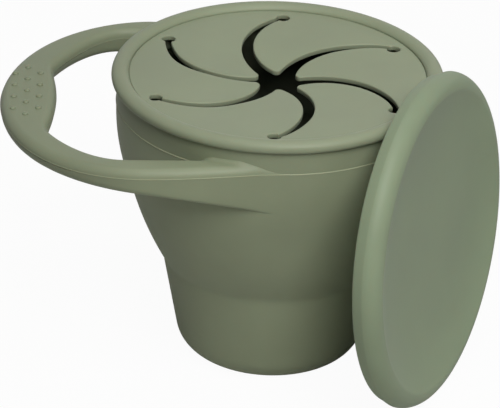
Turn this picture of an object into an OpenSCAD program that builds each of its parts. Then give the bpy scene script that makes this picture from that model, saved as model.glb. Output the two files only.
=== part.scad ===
// Toddler snack cup in moulded silicone: a cup whose middle band folds down, with a loop handle
// moulded on its collar, a lid of six curved flaps, and a dust cover that leans on the lid's rim.
// Millimetres. Origin at the centre of the cup's base, on the table. The handle reaches along -X.

/* [Cup] */
// Outside radius of the straight collar at the top of the cup
collar_r = 46; // [44.5:0.1:47.5]
// Height of the cup's lip above the table
cup_h = 85.6; // [83:0.1:89]
// Wall of the collar
collar_wall = 2.6; // [2.2:0.1:3]
// Wall of the thin folding band
band_wall = 1.3; // [1:0.1:1.8]
// Wall of the lower cup
base_wall = 3; // [2.4:0.1:3.6]
// Thickness of the floor
floor_t = 3; // [2:0.1:4]
// Height of the crease where the folding band meets the lower cup
crease_h = 31; // [28:0.5:33]
// Height of the folding band
band_h = 24; // [20:0.5:25]
// Lean of the lower cup's side, in degrees from upright
base_lean = 11; // [8:0.5:13]
// Lean of the folding band where it leaves the crease
crease_lean = 30; // [26:1:33]
// Lean of the straight flank above the folding band's curve
flank_lean = 18; // [15:0.5:20]
// Height over which the lean eases from the crease to the flank
bulge_h = 18; // [15:0.5:20]
// Height of the straight flank
flank_h = 9; // [7:0.5:11]
// Height of the shoulder that turns the flank upright
shoulder_h = 18; // [15:0.5:20]
// Radius round the outside of the bottom edge
foot_round = 8.5; // [6:0.5:10]
// Radius inside the bottom edge
well_round = 5; // [3:0.5:6.5]
// Distance from the lip down to the mould's parting plane
parting_drop = 7.6; // [7:0.1:8.4]
// Height of the fine ridge that the parting plane leaves
parting_ridge = 0.2; // [0.1:0.05:0.3]

/* [Handle] */
// Distance from the collar to the far edge of the grip
grip_out = 33; // [29:0.5:36]
// Width of the grip at its middle
grip_w = 16.3; // [14:0.1:18]
// Half the length of the grip's inner edge
grip_half = 19.2; // [18:0.2:22]
// Radius of the grip's crowned inner edge
grip_crown = 100; // [70:1:160]
// How far each arm bulges past the collar's side
arm_bulge = 3.2; // [2:0.1:4.5]
// Depth of the arm's inner edge inside the collar's side
arm_inset = 5; // [4:0.1:6]
// Distance from the cup's axis to where the arms are widest apart
arm_turn = 36; // [32:0.5:39]
// Height of the handle above the parting plane
handle_top = 2.8; // [2.2:0.1:3.4]
// Depth of the grip below the parting plane
grip_depth = 3.4; // [2.8:0.1:4.2]
// Extra depth of the arms where they reach the cup
gusset_depth = 9.6; // [6:0.1:10]
// Slope of the whole handle below level, in degrees
handle_droop = 1.24; // [0:0.02:2]
// Turn of the whole handle round the cup, in degrees
handle_turn = 1.7; // [0:0.1:5]
// Diameter of a grip dot
dot_d = 1.7; // [1.2:0.1:2.2]
// Height of a grip dot above the handle
dot_h = 0.6; // [0.3:0.1:0.9]
// Distance between neighbouring dots of a row
dot_pitch = 7.5; // [6:0.1:8]
// Distance between rows of dots
dot_row = 3.6; // [3:0.1:4]
// Distance from the grip's outer edge to the first row of dots
dot_edge = 3.5; // [3:0.1:4.5]

/* [Lid] */
// Radius of the rolled rim's section
roll_r = 2.1; // [1.9:0.05:2.4]
// Thickness of the lid's skin outside the cup's lip
lip_skin = 1.3; // [1.1:0.05:1.6]
// Radius under the outer edge of the rim
lip_round = 1.25; // [1:0.05:1.5]
// Turn of the rolled rim's section, from its outer side to the disc, in degrees
roll_turn = 155; // [145:1:165]
// Depth of the roll's middle below the disc's face
roll_sink = 0.4; // [0.2:0.05:0.6]
// Depth of the outer lip below the cup's lip
lip_drop = 1.3; // [1:0.1:2]
// Thickness of the disc and its flaps
disc_t = 1.6; // [1.3:0.1:1.9]
// Height of the disc's face above the cup's lip
disc_rise = 1.1; // [0.9:0.05:1.4]
// Width of the rim from its outer edge to the disc
rim_w = 4.7; // [4.4:0.05:5]
// Wall of the plug that reaches down inside the cup
plug_wall = 1.6; // [1.2:0.1:2]
// Depth of the plug below the cup's lip
plug_drop = 5; // [4:0.1:6]
// Clearance between the lid and the cup's lip
lid_gap = 0.2; // [0.15:0.01:0.25]

/* [Flaps] */
// Radius of the circle through the slits' end holes
hole_circle_r = 38.2; // [37.4:0.1:38.8]
// Angle of the first end hole
hole_angle = 88.6; // [60:0.2:119]
// Radius of an end hole
hole_r = 1.9; // [1.6:0.05:2.1]
// Radius of each slit's outer edge
slit_outer_r = 23.75; // [23.3:0.05:24.2]
// Radius of each slit's inner edge
slit_inner_r = 21.1; // [20.6:0.05:21.5]
// Distance of the outer edge's centre from the cup's axis
slit_outer_reach = 23.05; // [22.8:0.05:23.3]
// Distance of the inner edge's centre from the cup's axis
slit_inner_reach = 24.88; // [24.6:0.05:25.1]
// Angle from an end hole back to the outer edge's centre
slit_outer_turn = 33.1; // [32:0.1:34]
// Angle from an end hole back to the inner edge's centre
slit_inner_turn = 31.9; // [31:0.1:33]
// Radius at the tip of a flap
tip_r = 1.2; // [0.8:0.1:1.6]
// Sag of the flaps at rest, in degrees
flap_sag = 4.2; // [2:0.1:6]
// Clearance round the root of a flap
root_gap = 0.25; // [0.2:0.01:0.3]

/* [Dust cover] */
// Outside radius of the cover
cover_r = 48.5; // [47.8:0.1:49.4]
// Depth of the cover from its crest to its open edge
cover_depth = 8; // [7:0.1:9]
// Radius round the cover's crest
crest_round = 4.7; // [4:0.1:5.4]
// How much smaller the open edge is in radius
cover_draft = 1.1; // [0.6:0.1:1.5]
// Wall of the cover's skirt and face
cover_wall = 1.6; // [1.3:0.1:1.9]
// Drop from the crest to the sunk face
face_drop = 3; // [2:0.1:3.4]
// Width of the slope between the crest and the sunk face
face_slope = 8; // [6:0.5:10]
// Further dish of the sunk face at its middle
face_dish = 1.2; // [0.6:0.1:1.5]
// Radius of the fillet inside the skirt
skirt_fillet = 2.5; // [1.5:0.1:3]
// Lean of the cover towards the cup, in degrees
cover_lean = 3.6; // [2:0.1:5]
// Direction that the cover faces, in degrees from +X
cover_turn = -22.9; // [-40:0.1:0]
// Distance of the cover's middle to one side of the cup's axis
cover_side = 6.2; // [0:0.1:9]
// Gap between the cover and the lid's rim that it leans on
cover_gap = 0.82; // [0.4:0.01:0.95]

/* [Hidden] */
$fn = 96;
flap_count = 6;
flap_turn = 360/flap_count;
sage = "#8f9780";
sage_dark = "#858d76";
cover_green = "#7f8c72";

// Heights and radii down the cup's outside
band_top = crease_h + band_h;
flank_low = crease_h + bulge_h;
flank_high = flank_low + flank_h;
shoulder_top = flank_high + shoulder_h;
shoulder_arc = shoulder_h/sin(flank_lean);
bulge_arc = bulge_h/(sin(crease_lean) - sin(flank_lean));
flank_high_r = collar_r - shoulder_arc*(1 - cos(flank_lean));
flank_low_r = flank_high_r - flank_h*tan(flank_lean);
crease_r = flank_low_r - bulge_arc*(cos(flank_lean) - cos(crease_lean));
parting_h = cup_h - parting_drop;

// Lean of the outside at height z, and its radius there
function lean(z) =
    z < crease_h ? base_lean
    : z < flank_low ? asin(sin(flank_lean) + (flank_low - z)/bulge_arc)
    : z < flank_high ? flank_lean
    : z < shoulder_top ? asin((shoulder_top - z)/shoulder_arc)
    : 0;
function outer_r(z) =
    z < crease_h ? crease_r - (crease_h - z)*tan(base_lean)
    : z < flank_low ? flank_low_r - bulge_arc*(cos(flank_lean) - cos(lean(z)))
    : z < flank_high ? flank_high_r - (flank_high - z)*tan(flank_lean)
    : z < shoulder_top ? collar_r - shoulder_arc*(1 - cos(lean(z)))
    : collar_r;
function inner_r(z, wall) = outer_r(z) - wall/cos(lean(z));

function steps(a, b, n) = [for (i = [0 : n]) a + (b - a)*i/n];
function polar(c, r, a) = [c[0] + r*cos(a), c[1] + r*sin(a)];
function arc(c, r, a, b, n) = [for (t = steps(a, b, n)) polar(c, r, t)];
function lerp(p, q, t) = p + (q - p)*t;
function bezier(p, t) =
    p[0]*pow(1 - t, 3) + p[1]*3*t*pow(1 - t, 2) + p[2]*3*t*t*(1 - t) + p[3]*pow(t, 3);
// The point at r1 from c1 and r2 from c2 that lies on the given side of the line between them
function meet(c1, r1, c2, r2, side) =
    let (d = norm(c2 - c1), u = (c2 - c1)/d, a = (d*d + r1*r1 - r2*r2)/(2*d), h = sqrt(r1*r1 - a*a))
    c1 + u*a + side*h*[-u[1], u[0]];

// Section of a bottom corner: an arc of radius r that blends a floor at height z into a side of
// the given lean, where the side passes through radius side_r at height 0
function corner(side_r, z, r, n) =
    let (rc = side_r + (z + r)*tan(base_lean) - r/cos(base_lean))
    arc([rc, z + r], r, -90, -base_lean, n);

module cup_base() {
    well_r = outer_r(0) - base_wall/cos(base_lean);
    outside = concat([[0, 0]], corner(outer_r(0), 0, foot_round, 8), [[crease_r, crease_h]]);
    inside = concat([[inner_r(0, base_wall) + crease_h*tan(base_lean), crease_h]],
        [for (i = [6 : -1 : 0]) corner(well_r, floor_t, well_round, 6)[i]], [[0, floor_t]]);
    color(sage_dark)
        rotate_extrude()
            polygon(concat(outside, inside));
}

// Outside of the band and of the collar, with the parting plane's ridge
band_outside = [for (z = steps(crease_h, band_top, 8)) [outer_r(z), z]];
collar_outside = concat(
    [for (z = steps(band_top, parting_h - parting_ridge, 8)) [outer_r(z), z]],
    [[outer_r(parting_h) + parting_ridge, parting_h]],
    [for (z = steps(parting_h + parting_ridge, cup_h, 3)) [outer_r(z), z]]);

module fold_band() {
    inside = [for (z = steps(band_top, crease_h, 8)) [inner_r(z, band_wall), z]];
    color(sage_dark)
        rotate_extrude()
            polygon(concat(band_outside, inside));
}

module cup_collar() {
    inside = [for (z = steps(cup_h, band_top, 10)) [inner_r(z, collar_wall), z]];
    color(sage)
        rotate_extrude()
            polygon(concat(collar_outside, inside));
}

// Plan of one half of the handle, from the middle of the grip to the cup's side. The outer edge
// is two smooth curves. The inner edge is the grip's crown, a bend and a straight arm.
grip_x = collar_r + grip_out;
arm_y = collar_r + arm_bulge;
arm_in_y = collar_r - arm_inset;
grip_in_x = grip_x - grip_w;
notch_x = grip_in_x + grip_half*grip_half/(2*grip_crown);
// How far the inner edge's bend ends before the outer edge's
bend_lead = 7;
arm_in_turn = arm_turn + bend_lead;
// How far the arms run past the cup's middle, and how deep their ends lie in the wall
arm_past = 6;
arm_bury = 1.3;
// Reach of the curves' handles, which set how full each bend is
grip_pull = 25;
arm_pull = 28;
turn_pull = 10;
end_pull = 12;
end_lift = 1.2;
notch_pull = [-3.5, 8.3];
bend_pull = 9;
grip_edge = [[grip_x, 0], [grip_x, grip_pull], [arm_turn + arm_pull, arm_y], [arm_turn, arm_y]];
arm_edge = [[arm_turn, arm_y], [arm_turn - turn_pull, arm_y], [end_pull, collar_r + end_lift],
    [-arm_past, collar_r - arm_bury]];
bend_edge = [[notch_x, grip_half], [notch_x, grip_half] + notch_pull,
    [arm_in_turn + bend_pull, arm_in_y], [arm_in_turn, arm_in_y]];
// Share of the outer curve that faces the grip's inner edge
grip_share = 0.34;
grip_steps = 5;
bend_steps = 11;
arm_steps = 5;
plan_steps = grip_steps + bend_steps + arm_steps;
function plan_outer(i) =
    i <= grip_steps ? bezier(grip_edge, grip_share*i/grip_steps)
    : i <= grip_steps + bend_steps
        ? bezier(grip_edge, grip_share + (1 - grip_share)*(i - grip_steps)/bend_steps)
    : bezier(arm_edge, (i - grip_steps - bend_steps)/arm_steps);
function plan_inner(i) =
    i <= grip_steps
        ? let (y = grip_half*i/grip_steps) [grip_in_x + y*y/(2*grip_crown), y]
    : i <= grip_steps + bend_steps ? bezier(bend_edge, (i - grip_steps)/bend_steps)
    : lerp([arm_in_turn, arm_in_y], [-arm_past, arm_in_y],
        (i - grip_steps - bend_steps)/arm_steps);

// One section of the handle: square shoulders with soft corners, taller below the parting plane.
// Towards the cup its outer face leans in with the wall, so the arms fade into it.
section_points = 16;
section_power = 0.5;
function soft(v) = sign(v)*pow(abs(v), section_power);
function handle_depth(x) = grip_depth + gusset_depth*max(0, 1 - x/grip_in_x);
function handle_section(i, side) =
    let (o = plan_outer(i), n = plan_inner(i), x = (o[0] + n[0])/2,
        tuck = 1 - min(1, max(0, o[0]/arm_turn)))
    [for (k = [0 : section_points - 1])
        let (a = 360*k/section_points,
            p = lerp(n, o, (1 + soft(cos(a)))/2),
            depth = soft(sin(a))*(sin(a) > 0 ? handle_top : handle_depth(x)),
            z = parting_h + depth - p[0]*tan(handle_droop))
        [-p[0], side*(p[1] - tuck*(collar_r - outer_r(z))), z]];

module handle_sweep() {
    stations = concat([for (i = [plan_steps : -1 : 1]) handle_section(i, -1)],
        [for (i = [0 : plan_steps]) handle_section(i, 1)]);
    count = len(stations);
    points = [for (s = stations) each s];
    n = section_points;
    sides = [for (j = [0 : count - 2], k = [0 : n - 1])
        let (a = j*n + k, b = j*n + (k + 1)%n)
        each [[a, b, b + n], [a, b + n, a + n]]];
    first = [for (k = [1 : n - 2]) [0, k + 1, k]];
    last = [for (k = [1 : n - 2]) (count - 1)*n*[1, 1, 1] + [0, k, k + 1]];
    polyhedron(points, concat(sides, first, last));
}

module grip_dots() {
    rows = [4, 5, 4];
    root = 1;
    for (r = [0 : len(rows) - 1], k = [0 : rows[r] - 1]) {
        x = grip_x - dot_edge - dot_row*r;
        y = dot_pitch*(k - (rows[r] - 1)/2);
        translate([-x, y, parting_h + handle_top - x*tan(handle_droop) - root])
            cylinder(d = dot_d, h = root + dot_h, $fn = 12);
    }
}

module loop_handle() {
    color(sage)
        difference() {
            rotate(handle_turn)
                handle_sweep();
            rotate_extrude()
                polygon(concat([[0, crease_h]], band_outside, collar_outside, [[0, cup_h]]));
        }
    color(sage)
        rotate(handle_turn)
            grip_dots();
}

// Radii and heights of the lid
rim_r = collar_r + lid_gap + lip_skin;
disc_top = cup_h + disc_rise;
disc_mid = disc_top - disc_t/2;
roll_c = [rim_r - roll_r, disc_top - roll_sink];
lip_low = cup_h - lip_drop;
plug_r = collar_r - collar_wall - lid_gap;
disc_r = rim_r - rim_w;

// Distance from the cup's axis to a flap's hinge line
hinge_r = hole_circle_r*cos(flap_turn/2);

// Plan of the opening that the flaps fill: six sides, set back from the flaps' round roots, and
// an end hole at each corner
module flap_opening() {
    setback = disc_t/2 + root_gap;
    across = (hinge_r + setback)/cos(flap_turn/2);
    rotate(hole_angle) {
        polygon([for (k = [0 : flap_count - 1]) polar([0, 0], across, flap_turn*k)]);
        for (k = [0 : flap_count - 1])
            translate(polar([0, 0], hole_circle_r, flap_turn*k))
                circle(hole_r);
    }
}

module lid_ring() {
    groove_r = collar_r + lid_gap;
    groove_top = cup_h + lid_gap;
    plug_low = cup_h - plug_drop;
    lead = 0.5;
    outline = concat(
        [[plug_r - plug_wall, plug_low], [plug_r - lead, plug_low], [plug_r, plug_low + lead],
            [plug_r, groove_top], [groove_r, groove_top], [groove_r, lip_low]],
        arc([rim_r - lip_round, lip_low + lip_round], lip_round, -90, 0, 4),
        arc(roll_c, roll_r, 0, roll_turn, 12),
        [[disc_r, disc_top], [0, disc_top], [0, disc_top - disc_t],
            [plug_r - plug_wall, disc_top - disc_t]]);
    color(sage)
        difference() {
            rotate_extrude()
                polygon(outline);
            translate([0, 0, disc_top - disc_t - 1])
                linear_extrude(disc_t + 2)
                    flap_opening();
        }
}

// The rounds at a flap's tip and root stand this hair past its sides, so that the curves cross
round_swell = 0.03;

// Plan of one flap with its hinge line across +X. Its sides are the edges of two slits.
slit_outer_c = polar([0, 0], slit_outer_reach, -slit_outer_turn - flap_turn/2);
slit_inner_c = polar([0, 0], slit_inner_reach, -slit_inner_turn + flap_turn/2);
tip_c = meet(slit_inner_c, slit_inner_r - tip_r + round_swell,
    slit_outer_c, slit_outer_r + tip_r - round_swell, -1);

module flap_plan() {
    inward = (tip_c - slit_inner_c)/norm(tip_c - slit_inner_c);
    outward = (slit_outer_c - tip_c)/norm(slit_outer_c - tip_c);
    spike = 4*tip_r;
    difference() {
        intersection() {
            translate(slit_inner_c)
                circle(slit_inner_r);
            translate([0, -hole_circle_r])
                square([hinge_r + disc_t, 2*hole_circle_r]);
        }
        translate(slit_outer_c)
            circle(slit_outer_r);
        polygon([tip_c, tip_c + spike*inward, tip_c + spike*(inward + outward)*2,
            tip_c + spike*outward]);
        for (s = [-1, 1])
            translate(polar([0, 0], hole_circle_r, s*flap_turn/2))
                circle(hole_r);
    }
    translate(tip_c)
        circle(tip_r);
}

// A flap is a plate of its plan, with a round root centred on the hinge line
module flap(k) {
    color(sage)
        rotate(hole_angle + flap_turn*(k - 0.5))
            translate([hinge_r, 0, disc_mid])
                rotate([0, -flap_sag, 0])
                    intersection() {
                        translate([-hinge_r, 0, -disc_t])
                            linear_extrude(2*disc_t)
                                flap_plan();
                        rotate([90, 0, 0])
                            linear_extrude(2*hole_circle_r, center = true) {
                                translate([-hinge_r, -disc_t/2])
                                    square([hinge_r, disc_t]);
                                circle(disc_t/2 + round_swell);
                            }
                    }
}

module flap_1() { flap(1); }
module flap_2() { flap(2); }
module flap_3() { flap(3); }
module flap_4() { flap(4); }
module flap_5() { flap(5); }
module flap_6() { flap(6); }

// Section of the cover, with its crest at height 0 and its open edge below
crest_r = cover_r - crest_round;
slope_in_r = crest_r - face_slope;
open_r = cover_r - cover_draft;
in_r = open_r - cover_wall;
edge_r = cover_wall/2;
edge_c = [open_r - edge_r, edge_r - cover_depth];
function face_z(r) =
    r >= slope_in_r ? -face_drop*(1 - cos(180*(crest_r - r)/face_slope))/2
    : -face_drop - face_dish*(1 - pow(r/slope_in_r, 2));
face_radii = concat([0], steps(slope_in_r/2, slope_in_r, 3),
    steps(slope_in_r + face_slope/6, crest_r - face_slope/6, 4));
fillet_x = in_r - skirt_fillet;
inside = concat(
    arc([fillet_x, face_z(fillet_x) - cover_wall - skirt_fillet], skirt_fillet, 0, 90, 4),
    [for (i = [len(face_radii) - 1 : -1 : 0])
        if (face_radii[i] < fillet_x) [face_radii[i], face_z(face_radii[i]) - cover_wall]]);

// Where the cover stands: its crest's edge on the table, and its open edge or its inner face
// against the lid. lean_at gives how far out the cover has to be for one point of its section,
// turned by the angle a, to clear the lid and the cup.
rim_top = roll_c[1] + roll_r;
cover_z = crest_r*cos(cover_lean) + crest_round*(1 + sin(cover_lean));
function clear_r(z, pad) =
    z > roll_c[1] + roll_r + pad ? 0
    : z > roll_c[1] ? roll_c[0] + sqrt(pow(roll_r + pad, 2) - pow(z - roll_c[1], 2))
    : (z > lip_low ? rim_r : outer_r(z)) + pad;
function lean_at(r, depth, pad, a) =
    let (y = r*sin(a) - cover_side,
        z = cover_z + r*cos(a)*cos(cover_lean) + depth*sin(cover_lean),
        need = clear_r(z, pad))
    need > abs(y)
        ? sqrt(need*need - y*y) - depth*cos(cover_lean) + r*cos(a)*sin(cover_lean)
        : 0;
cover_out = max([for (a = [-90 : 2 : 90])
    each concat(lean_at(edge_c[0], edge_c[1], edge_r + cover_gap, a),
        [for (p = inside) lean_at(p[0], p[1], cover_gap, a)])]);

module dust_cover() {
    outline = concat([for (r = face_radii) [r, face_z(r)]],
        arc([crest_r, -crest_round], crest_round, 90, 0, 7),
        arc(edge_c, edge_r, 0, -180, 6),
        inside);
    color(cover_green)
        rotate(cover_turn)
            translate([cover_out, -cover_side, cover_z])
                rotate([0, 90 - cover_lean, 0])
                    rotate_extrude()
                        polygon(outline);
}

cup_base();
fold_band();
cup_collar();
loop_handle();
lid_ring();
flap_1();
flap_2();
flap_3();
flap_4();
flap_5();
flap_6();
dust_cover();
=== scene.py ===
"""Toddler snack cup in moulded silicone: the cup with its loop handle, the lid of six curved flaps,
and the dust cover that leans on the lid's rim. All sizes are in metres, in the frame of the CAD."""

import math
from functools import partial

import bmesh
import bpy
import numpy as np
from bpy.props import FloatProperty, FloatVectorProperty, IntProperty, PointerProperty
from mathutils import Matrix, Vector
from mathutils.geometry import delaunay_2d_cdt


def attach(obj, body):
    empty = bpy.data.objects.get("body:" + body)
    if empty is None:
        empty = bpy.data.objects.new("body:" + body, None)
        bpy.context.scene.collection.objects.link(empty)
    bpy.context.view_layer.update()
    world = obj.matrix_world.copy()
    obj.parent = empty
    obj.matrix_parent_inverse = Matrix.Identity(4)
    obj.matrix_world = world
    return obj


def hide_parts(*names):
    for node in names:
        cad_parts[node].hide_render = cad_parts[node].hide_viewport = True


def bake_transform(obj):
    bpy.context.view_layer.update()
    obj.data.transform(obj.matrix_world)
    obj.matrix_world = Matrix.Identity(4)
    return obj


bl_info = {
    "name": "Snack Cup",
    "version": (1, 0, 0),
    "blender": (4, 5, 0),
    "location": "View3D > Sidebar > Snack Cup",
    "description": "Builds a silicone snack cup with a flap lid and a dust cover",
    "category": "Mesh",
}

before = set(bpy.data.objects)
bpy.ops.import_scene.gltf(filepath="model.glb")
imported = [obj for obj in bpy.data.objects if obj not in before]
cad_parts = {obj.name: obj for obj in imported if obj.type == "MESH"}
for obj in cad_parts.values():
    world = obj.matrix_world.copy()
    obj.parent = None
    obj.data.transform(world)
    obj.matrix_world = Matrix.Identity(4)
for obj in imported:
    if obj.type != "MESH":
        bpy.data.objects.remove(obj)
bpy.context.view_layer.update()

FLAPS = 6
SECTOR = math.tau / FLAPS
SEGMENTS = 64 * FLAPS  # steps round the lid
TURNS = 256  # steps round the cup and the cover
WELD = 1e-7  # points nearer than this are one
TINY = 1e-9  # a radius below this lies on the axis


# ---- Sizes and colours that a user would change ----


def length(name, default, description):
    """A distance in metres."""
    return FloatProperty(name=name, default=default, description=description, unit="LENGTH",
                         subtype="DISTANCE", precision=5)


def angle(name, degrees, description):
    """An angle, given in degrees and kept in radians."""
    return FloatProperty(name=name, default=math.radians(degrees), description=description,
                         subtype="ANGLE")


def linear(code):
    """Linear colour of an sRGB hex value."""
    parts = [int(code[i:i + 2], 16) / 255 for i in (1, 3, 5)]
    return [p / 12.92 if p <= 0.04045 else ((p + 0.055) / 1.055) ** 2.4 for p in parts]


def colour(name, code, description):
    """A colour, given as an sRGB hex value."""
    return FloatVectorProperty(name=name, default=linear(code), description=description,
                               subtype="COLOR", size=3, min=0, max=1)


class CupSizes(bpy.types.PropertyGroup):
    """Sizes of the cup."""

    collar_r: length("Collar radius", 0.046, "Outside radius of the straight collar")
    height: length("Height", 0.0856, "Height of the cup's lip above the table")
    collar_wall: length("Collar wall", 0.0026, "Wall of the collar")
    band_wall: length("Band wall", 0.0013, "Wall of the folding band")
    base_wall: length("Base wall", 0.003, "Wall of the lower cup")
    floor: length("Floor", 0.003, "Thickness of the floor")
    crease_h: length("Crease height", 0.0302, "Where the folding band meets the lower cup")
    band_h: length("Band height", 0.0248, "Height of the folding band")
    base_lean: angle("Base lean", 11, "Lean of the lower cup's side")
    crease_lean: angle("Crease lean", 30, "Lean of the band above the crease")
    flank_lean: angle("Flank lean", 18, "Lean of the straight flank")
    bulge_h: length("Bulge height", 0.0188, "Height over which the lean eases")
    flank_h: length("Flank height", 0.009, "Height of the straight flank")
    shoulder_h: length("Shoulder height", 0.018, "Height of the shoulder under the collar")
    foot_round: length("Foot radius", 0.0085, "Radius round the bottom edge")
    well_round: length("Well radius", 0.005, "Radius inside the bottom edge")
    lip_round: length("Lip radius", 0.0007, "Radius of the lip's two edges")
    parting_drop: length("Parting drop", 0.0074, "From the lip down to the parting line")
    flash: length("Flash", 0.00015, "Height of the flash on the parting line")


class HandleSizes(bpy.types.PropertyGroup):
    """Sizes of the loop handle and its grip dots."""

    reach: length("Reach", 0.033, "From the collar to the grip's far edge")
    grip_w: length("Grip width", 0.0158, "Width of the grip at its middle")
    grip_half: length("Grip half length", 0.0192, "Half of the grip's inner edge")
    uneven: length("Uneven", 0.0028, "How much fuller the front half is than the back one")
    grip_aside: length("Grip aside", 0.0014, "How far the grip's inner edge sits to the front")
    grip_crown: length("Grip crown", 0.1, "Radius of the grip's inner edge")
    arm_bulge: length("Arm bulge", 0.0032, "How far an arm stands out past the collar")
    arm_inset: length("Arm inset", 0.005, "Depth of the arm's inner edge inside the collar")
    arm_turn: length("Arm turn", 0.036, "Where the arms are widest apart")
    arm_past: length("Arm past", 0.007, "How far the arms run past the cup's middle")
    root_in: length("Root inset", 0.0022, "How much narrower the arms' buried ends are")
    arm_bury: length("Arm bury", 0.0015, "How deep the arms' ends lie in the wall")
    top: length("Top", 0.0026, "Height above the parting line")
    depth: length("Depth", 0.0037, "Depth of the grip below the parting line")
    gusset: length("Gusset", 0.0102, "Extra depth of the arms at the cup")
    root_round: length("Root radius", 0.0018, "Fillet where an arm's top meets the wall")
    melt: length("Melt", 0.0012, "Height over which an arm's face melts into the wall")
    droop: angle("Droop", 1.24, "Slope of the handle below level")
    turn: angle("Turn", 1.7, "Turn of the whole handle round the cup")
    dot_d: length("Dot diameter", 0.0019, "Diameter of a grip dot")
    dot_h: length("Dot height", 0.0006, "Height of a grip dot")
    dot_pitch: length("Dot pitch", 0.0075, "Distance between the dots of a row")
    dot_row: length("Row pitch", 0.0036, "Distance between the rows of dots")
    dot_edge: length("Dot edge", 0.0038, "From the grip's edge to the first row")
    dot_aside: length("Dots aside", 0.0016, "How far the dots sit off the grip's middle")


class LidSizes(bpy.types.PropertyGroup):
    """Sizes of the lid and its flaps."""

    roll_r: length("Roll radius", 0.0021, "Half of the rolled rim's height")
    roll_w: length("Roll width", 0.0025, "Half of the rolled rim's width")
    roll_turn: angle("Roll turn", 164, "Turn of the roll's section")
    roll_sink: length("Roll sink", 0.0004, "Depth of the roll's middle below the disc")
    rim_w: length("Rim width", 0.0052, "From the rim's outer edge to the disc")
    skin: length("Skin", 0.0013, "Lid outside the cup's lip")
    lip_round: length("Lip radius", 0.00125, "Radius under the rim's outer edge")
    lip_drop: length("Lip drop", 0.0007, "Depth of the outer lip below the cup's lip")
    disc_t: length("Disc", 0.0016, "Thickness of the disc and its flaps")
    disc_rise: length("Disc rise", 0.0011, "Height of the disc above the cup's lip")
    plug_wall: length("Plug wall", 0.0016, "Wall of the plug inside the cup")
    plug_drop: length("Plug drop", 0.005, "Depth of the plug below the cup's lip")
    gap: length("Gap", 0.0002, "Clearance between the lid and the cup")
    hole_circle: length("Hole circle", 0.0382, "Radius of the circle of end holes")
    hole_r: length("Hole radius", 0.0019, "Radius of an end hole")
    hole_angle: angle("Hole angle", 88.6, "Angle of the first end hole")
    outer_r: length("Outer edge radius", 0.02375, "Radius of a slit's outer edge")
    inner_r: length("Inner edge radius", 0.0211, "Radius of a slit's inner edge")
    outer_reach: length("Outer edge reach", 0.02305, "From the axis to the outer edge's centre")
    inner_reach: length("Inner edge reach", 0.02488, "From the axis to the inner edge's centre")
    outer_turn: angle("Outer edge turn", 33.1, "From an end hole back to the outer centre")
    inner_turn: angle("Inner edge turn", 31.9, "From an end hole back to the inner centre")
    tip_back: length("Tips drawn back", 0.0011, "How far the flaps' tips have drawn back")
    tip_r: length("Tip radius", 0.0012, "Radius at the tip of a flap")
    dish: length("Dish", 0.00245, "Depth of the dished disc at its middle")
    dish_r: length("Dish radius", 0.0405, "Where the dish starts")
    edge_round: length("Edge round", 0.0004, "Rounding of the flaps' edges")
    lift_2: length("Second flap's lift", 0.0009, "How far its outer edge stands up")
    lift_3: length("Third flap's lift", 0.00055, "How far its outer edge stands up")


class CoverSizes(bpy.types.PropertyGroup):
    """Sizes of the dust cover and where it leans."""

    radius: length("Radius", 0.0485, "Outside radius of the cover")
    depth: length("Depth", 0.008, "From the crest to the open edge")
    crest_round: length("Crest radius", 0.0047, "Radius round the crest")
    draft: length("Draft", 0.0011, "How much smaller the open edge is")
    wall: length("Wall", 0.0016, "Wall of the skirt and face")
    face_drop: length("Face drop", 0.003, "From the crest to the sunk face")
    face_slope: length("Face slope", 0.022, "Width of the slope inside the crest")
    face_dish: length("Face dish", 0.001, "Further dish at the middle")
    fillet: length("Fillet", 0.0025, "Radius inside the skirt")
    lean: angle("Lean", 3.6, "Lean towards the cup")
    turn: angle("Turn", -22.9, "Direction that the cover faces")
    side: length("Side", 0.0062, "Distance to one side of the cup's axis")
    out: length("Out", 0.055008, "Distance of the crest's plane from the cup's axis")


class Finishes(bpy.types.PropertyGroup):
    """Colours and textures of the silicone mouldings and the stage."""

    cup: colour("Cup", "#878f74", "Sage silicone of the cup")
    lid: colour("Lid", "#8a9278", "Sage silicone of the lid")
    cover: colour("Cover", "#849176", "Cooler sage of the dust cover")
    flash: colour("Flash", "#9ca284", "Pale flash on the parting lines")
    floor: colour("Floor", "#cfcfcc", "Plain pale floor")
    grain: length("Grain", 0.0005, "Size of the mould's matte texture")
    cloud: length("Cloud", 0.03, "Size of the soft variation in colour")
    seed: IntProperty(name="Seed", default=3, description="Seed of the dots' small turns")


# ---- Mesh helpers ----


def steps(a, b, n):
    """n + 1 even values from a to b."""
    return [a + (b - a) * i / n for i in range(n + 1)]


def arc(centre, radius, start, end, n):
    """Points of an arc in degrees, both ends included."""
    return [(centre[0] + radius * math.cos(math.radians(t)),
             centre[1] + radius * math.sin(math.radians(t))) for t in steps(start, end, n)]


def polar(r, a):
    """Point of the plane at radius r and angle a."""
    return np.array([r * math.cos(a), r * math.sin(a)])


def ease(t):
    """Smooth step from 0 to 1."""
    t = min(1.0, max(0.0, t))
    return t * t * (3 - 2 * t)


def blurred(curve, x, soft, n):
    """Mean of a curve's values from soft before x to soft after it."""
    return sum(curve(x + soft * t) for t in steps(-1, 1, n)) / (n + 1)


def add_object(name, data):
    """Links a new object at the origin."""
    thing = bpy.data.objects.new(name, data)
    bpy.context.scene.collection.objects.link(thing)
    return thing


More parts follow.
